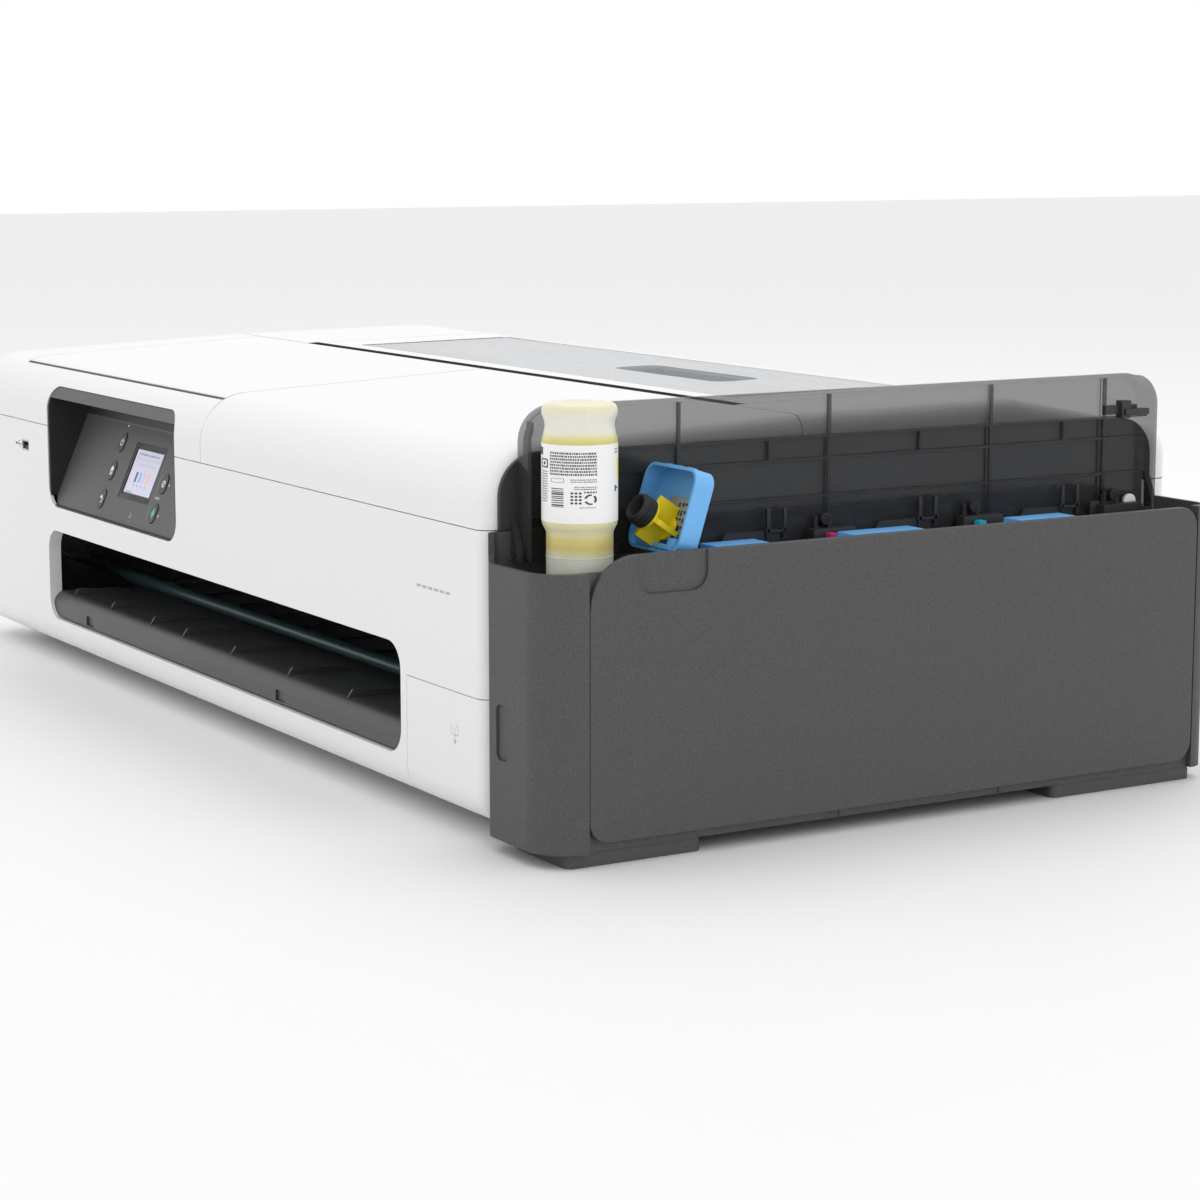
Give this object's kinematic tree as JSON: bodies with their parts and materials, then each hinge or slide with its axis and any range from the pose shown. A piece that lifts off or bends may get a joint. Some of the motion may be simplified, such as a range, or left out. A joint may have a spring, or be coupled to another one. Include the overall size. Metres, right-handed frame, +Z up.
{
  "type": "wide-format inkjet printer",
  "caption": "Wide roll-fed inkjet printer with a scanner, tilted control panel, output slot, refillable side ink tanks under a smoked cover and an inverted ink bottle.",
  "frame": {"origin": "middle of the footprint's bounding box, on the surface the feet stand on", "axes": "+X to the tank unit's side (the viewer's right from the front), +Y to the back, +Z up; the front faces -Y"},
  "size_m": [0.968, 0.525, 0.266],
  "materials": {
    "white_casing": "satin",
    "grey_panel": "satin",
    "guide_plastic": "satin",
    "tank_plastic": "fine grain",
    "smoked_window": "clear gloss",
    "roll_window": "translucent satin",
    "glass": "polished",
    "display": "gloss",
    "black_trim": "gloss",
    "key_plastic": "satin",
    "foam": "matte",
    "cap_blue": "satin",
    "yellow_ink_part": "satin",
    "bottle_plastic": "translucent satin",
    "tank_wall": "satin",
    "rubber": "matte",
    "steel": "brushed",
    "shaft": "satin",
    "inner_plastic": "satin",
    "belt": "matte",
    "board": "satin",
    "roll_core": "satin"
  },
  "bodies": {
    "root": {"front_cover": "white_casing", "left_side_cover": "white_casing", "rear_cover": "white_casing", "rear_top_cover": "white_casing", "scanner_housing": "white_casing", "scanner_glass": "glass", "base_tray": "inner_plastic", "rubber_feet": "rubber", "output_guide": "guide_plastic", "panel_housing": "grey_panel", "display_bezel": "black_trim", "display_glass": "display", "front_usb_port": "steel", "rear_ports": "inner_plastic", "maintenance_cartridge": "inner_plastic", "tank_tub": "tank_plastic", "tank_cheek": "tank_plastic", "side_panel": "tank_plastic", "ink_tanks": "tank_wall", "side_frames": "steel", "platen": "inner_plastic", "timing_belt": "belt", "carriage_motor": "steel", "carriage_rail": "steel", "feed_belt": "belt", "feed_motor": "steel", "cutter_rail": "steel", "spool_holders": "inner_plastic", "main_board": "board", "power_supply": "steel", "case_screws": "steel"},
    "scanner_lid": {"scanner_lid": "white_casing", "lid_pad": "foam"},
    "scan_head": {"scan_head": "inner_plastic"},
    "access_cover": {"access_cover": "white_casing"},
    "roll_cover": {"roll_cover": "white_casing", "roll_cover_window": "roll_window"},
    "power_button": {"power_button": "key_plastic"},
    "home_button": {"home_button": "key_plastic"},
    "back_button": {"back_button": "key_plastic"},
    "stop_button": {"stop_button": "key_plastic"},
    "start_button": {"start_button": "key_plastic"},
    "maintenance_door": {"maintenance_door": "white_casing"},
    "tank_cover": {"tank_cover": "smoked_window"},
    "yellow_cap": {"yellow_cap": "cap_blue", "yellow_plug": "yellow_ink_part"},
    "magenta_cap": {"magenta_cap": "cap_blue"},
    "cyan_cap": {"cyan_cap": "cap_blue"},
    "black_cap": {"black_cap": "cap_blue"},
    "ink_bottle": {"ink_bottle": "bottle_plastic"},
    "exit_shaft": {"exit_shaft": "shaft"},
    "feed_roller": {"feed_roller": "shaft"},
    "pinch_rollers": {"pinch_rollers": "belt"},
    "motor_pulley": {"motor_pulley": "inner_plastic"},
    "idler_pulley": {"idler_pulley": "inner_plastic"},
    "drive_pulley": {"drive_pulley": "inner_plastic"},
    "carriage": {"carriage": "inner_plastic", "print_head": "inner_plastic"},
    "cutter": {"cutter": "inner_plastic"},
    "roll_spool": {"roll_spool": "roll_core"}
  },
  "joints": [
    {"name": "scanner_lid_hinge", "type": "hinge", "parent": "root", "child": "scanner_lid", "pos_m": [-0.2, -0.0376, 0.2457], "axis": [-1, 0, 0], "range_deg": [0, 75]},
    {"name": "scan_head_slide", "type": "slide", "parent": "root", "child": "scan_head", "axis": [1, 0, 0], "range_m": [0, 0.31]},
    {"name": "access_cover_hinge", "type": "hinge", "parent": "root", "child": "access_cover", "pos_m": [0.2, -0.0374, 0.2457], "axis": [-1, 0, 0], "range_deg": [0, 60]},
    {"name": "roll_cover_hinge", "type": "hinge", "parent": "root", "child": "roll_cover", "pos_m": [0, 0.246, 0.2252], "axis": [-1, 0, 0], "range_deg": [0, 70]},
    {"name": "maintenance_door_hinge", "type": "hinge", "parent": "root", "child": "maintenance_door", "pos_m": [0.3095, -0.2625, 0.05], "axis": [0, 0, -1], "range_deg": [0, 90]},
    {"name": "tank_cover_hinge", "type": "hinge", "parent": "root", "child": "tank_cover", "pos_m": [0.4164, 0, 0.175], "axis": [0, 1, 0], "range_deg": [0, 3.5]},
    {"name": "yellow_cap_hinge", "type": "hinge", "parent": "root", "child": "yellow_cap", "pos_m": [0.4475, -0.17, 0.163], "axis": [-1, 0, 0], "range_deg": [-18, 0]},
    {"name": "magenta_cap_hinge", "type": "hinge", "parent": "root", "child": "magenta_cap", "pos_m": [0.4475, -0.0545, 0.163], "axis": [-1, 0, 0], "range_deg": [0, 105]},
    {"name": "cyan_cap_hinge", "type": "hinge", "parent": "root", "child": "cyan_cap", "pos_m": [0.4475, 0.061, 0.163], "axis": [-1, 0, 0], "range_deg": [0, 105]},
    {"name": "black_cap_hinge", "type": "hinge", "parent": "root", "child": "black_cap", "pos_m": [0.4475, 0.1765, 0.163], "axis": [-1, 0, 0], "range_deg": [0, 105]},
    {"name": "bottle_lift", "type": "slide", "parent": "root", "child": "ink_bottle", "axis": [0, 0, 1], "range_m": [0, 0.2]},
    {"name": "carriage_slide", "type": "slide", "parent": "root", "child": "carriage", "axis": [1, 0, 0], "range_m": [-0.66, 0]},
    {"name": "drive_pulley_spin", "type": "hinge", "parent": "root", "child": "drive_pulley", "pos_m": [0.375, -0.093, 0.158], "axis": [0, 1, 0], "range_deg": [-4700, 100]},
    {"name": "idler_pulley_spin", "type": "hinge", "parent": "root", "child": "idler_pulley", "pos_m": [-0.426, -0.093, 0.158], "axis": [0, 1, 0], "range_deg": [-4700, 100]},
    {"name": "feed_roller_spin", "type": "hinge", "parent": "root", "child": "feed_roller", "pos_m": [0, -0.038, 0.05], "axis": [1, 0, 0], "continuous": true},
    {"name": "motor_pulley_spin", "type": "hinge", "parent": "root", "child": "motor_pulley", "pos_m": [-0.459, 0.052, 0.05], "axis": [1, 0, 0], "continuous": true},
    {"name": "exit_shaft_spin", "type": "hinge", "parent": "root", "child": "exit_shaft", "pos_m": [0, -0.195, 0.064], "axis": [1, 0, 0], "continuous": true},
    {"name": "pinch_roller_spin", "type": "hinge", "parent": "root", "child": "pinch_rollers", "pos_m": [0, -0.038, 0.0683], "axis": [1, 0, 0], "continuous": true},
    {"name": "cutter_slide", "type": "slide", "parent": "root", "child": "cutter", "axis": [1, 0, 0], "range_m": [0, 0.65]},
    {"name": "roll_spool_spin", "type": "hinge", "parent": "root", "child": "roll_spool", "pos_m": [0, 0.095, 0.128], "axis": [1, 0, 0], "continuous": true},
    {"name": "power_button_press", "type": "slide", "parent": "root", "child": "power_button", "axis": [0, 0.9185, -0.3955], "range_m": [0, 0.0009], "stiffness_N_per_m": 300},
    {"name": "home_button_press", "type": "slide", "parent": "root", "child": "home_button", "axis": [0, 0.9185, -0.3955], "range_m": [0, 0.0009], "stiffness_N_per_m": 300},
    {"name": "back_button_press", "type": "slide", "parent": "root", "child": "back_button", "axis": [0, 0.9185, -0.3955], "range_m": [0, 0.0009], "stiffness_N_per_m": 300},
    {"name": "stop_button_press", "type": "slide", "parent": "root", "child": "stop_button", "axis": [0, 0.9185, -0.3955], "range_m": [0, 0.0009], "stiffness_N_per_m": 300},
    {"name": "start_button_press", "type": "slide", "parent": "root", "child": "start_button", "axis": [0, 0.9185, -0.3955], "range_m": [0, 0.0009], "stiffness_N_per_m": 300}
  ],
  "couplings": [
    {"joint": "drive_pulley_spin", "follows": "carriage_slide", "rad_per_m": 114.94},
    {"joint": "idler_pulley_spin", "follows": "carriage_slide", "rad_per_m": 114.94},
    {"joint": "motor_pulley_spin", "follows": "feed_roller_spin", "ratio": 1},
    {"joint": "exit_shaft_spin", "follows": "feed_roller_spin", "ratio": 2.4},
    {"joint": "pinch_roller_spin", "follows": "feed_roller_spin", "ratio": -2}
  ]
}
